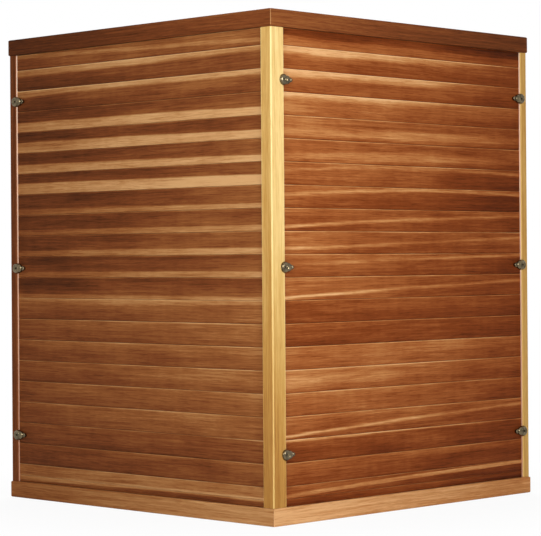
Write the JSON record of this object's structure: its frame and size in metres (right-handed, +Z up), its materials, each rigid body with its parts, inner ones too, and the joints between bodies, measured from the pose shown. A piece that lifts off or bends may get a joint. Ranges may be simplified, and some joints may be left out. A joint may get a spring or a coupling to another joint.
{
  "type": "infrared sauna cabin",
  "caption": "Five-sided corner sauna cabin in horizontal cedar boards with proud corner posts, mitred base and roof fascia, a glass front door, bench and wall heaters.",
  "frame": {"origin": "on the floor, in the middle of the square that the two equal rear walls span", "axes": "+Z up; the rear walls are on the +X and +Y sides; the door faces -X -Y"},
  "size_m": [1.536, 1.536, 1.905],
  "materials": {
    "cedar_boards": "satin, level grain, brown with tan bands",
    "red_cedar_boards": "satin, level grain, red brown with pale streaks",
    "pale_cedar": "satin, upright grain, yellow tan",
    "brown_cedar": "satin, straight grain, dark brown",
    "tan_cedar": "satin, straight grain, tan",
    "hemlock": "satin, fine grain, pale",
    "plywood": "raw, flat grain",
    "dark_nickel": "polished dark nickel",
    "satin_steel": "brushed",
    "tinted_glass": "toughened, light tint",
    "heater_black": "matt black",
    "panel_black": "fine moulded texture",
    "key_grey": "smooth",
    "opal": "frosted",
    "grey_steel": "grey powder coat"
  },
  "bodies": {
    "cabin": {"rear_post": "pale_cedar", "left_post": "pale_cedar", "right_post": "brown_cedar", "front_left_post": "pale_cedar", "front_right_post": "pale_cedar", "left_rear_cladding": "red_cedar_boards", "left_rear_lining": "hemlock", "right_rear_cladding": "cedar_boards", "right_rear_lining": "hemlock", "left_side_panel": "cedar_boards", "right_side_panel": "cedar_boards", "left_rear_skirt": "tan_cedar", "left_side_skirt": "tan_cedar", "front_skirt": "tan_cedar", "right_side_skirt": "tan_cedar", "right_rear_skirt": "tan_cedar", "left_rear_fascia": "brown_cedar", "left_side_fascia": "brown_cedar", "front_fascia": "brown_cedar", "right_side_fascia": "brown_cedar", "right_rear_fascia": "brown_cedar", "floor_deck": "hemlock", "ceiling_panel": "hemlock", "roof_cover": "plywood", "ceiling_light": "opal", "power_box": "grey_steel", "front_left_panel": "cedar_boards", "front_right_panel": "cedar_boards", "front_header": "pale_cedar", "left_window": "tinted_glass", "right_window": "tinted_glass", "upper_hinge_leaf": "satin_steel", "lower_hinge_leaf": "satin_steel", "control_panel": "panel_black", "bench_top": "hemlock", "left_bench_front": "hemlock", "right_bench_front": "hemlock", "left_heater": "heater_black", "left_heater_guard": "hemlock", "right_heater": "heater_black", "right_heater_guard": "hemlock", "left_rear_corner_bolt_1": "dark_nickel", "left_rear_corner_bolt_2": "dark_nickel", "left_rear_corner_bolt_3": "dark_nickel", "left_rear_edge_bolt_1": "dark_nickel", "left_rear_edge_bolt_2": "dark_nickel", "left_rear_edge_bolt_3": "dark_nickel", "right_rear_edge_bolt_1": "dark_nickel", "right_rear_edge_bolt_2": "dark_nickel", "right_rear_edge_bolt_3": "dark_nickel"},
    "door": {"door_glass": "tinted_glass", "upper_glass_clamp": "satin_steel", "lower_glass_clamp": "satin_steel", "outside_handle": "hemlock", "inside_handle": "hemlock"},
    "shutter": {"vent_shutter": "hemlock"},
    "power_key": {"power_button": "key_grey"},
    "light_key": {"light_button": "key_grey"},
    "cooler_key": {"cooler_button": "key_grey"},
    "warmer_key": {"warmer_button": "key_grey"}
  },
  "joints": [
    {"name": "door_hinge", "type": "hinge", "parent": "cabin", "child": "door", "pos_m": [-0.54623, -0.11066, 0.9], "axis": [0, 0, -1], "range_deg": [0, 105]},
    {"name": "vent_slide", "type": "slide", "parent": "cabin", "child": "shutter", "axis": [-1, 0, 0], "range_m": [0, 0.13]},
    {"name": "power_press", "type": "slide", "parent": "cabin", "child": "power_key", "axis": [0.7071, 0.7071, 0], "range_m": [0, 0.0015], "stiffness_N_per_m": 400},
    {"name": "light_press", "type": "slide", "parent": "cabin", "child": "light_key", "axis": [0.7071, 0.7071, 0], "range_m": [0, 0.0015], "stiffness_N_per_m": 400},
    {"name": "cooler_press", "type": "slide", "parent": "cabin", "child": "cooler_key", "axis": [0.7071, 0.7071, 0], "range_m": [0, 0.0015], "stiffness_N_per_m": 400},
    {"name": "warmer_press", "type": "slide", "parent": "cabin", "child": "warmer_key", "axis": [0.7071, 0.7071, 0], "range_m": [0, 0.0015], "stiffness_N_per_m": 400}
  ]
}
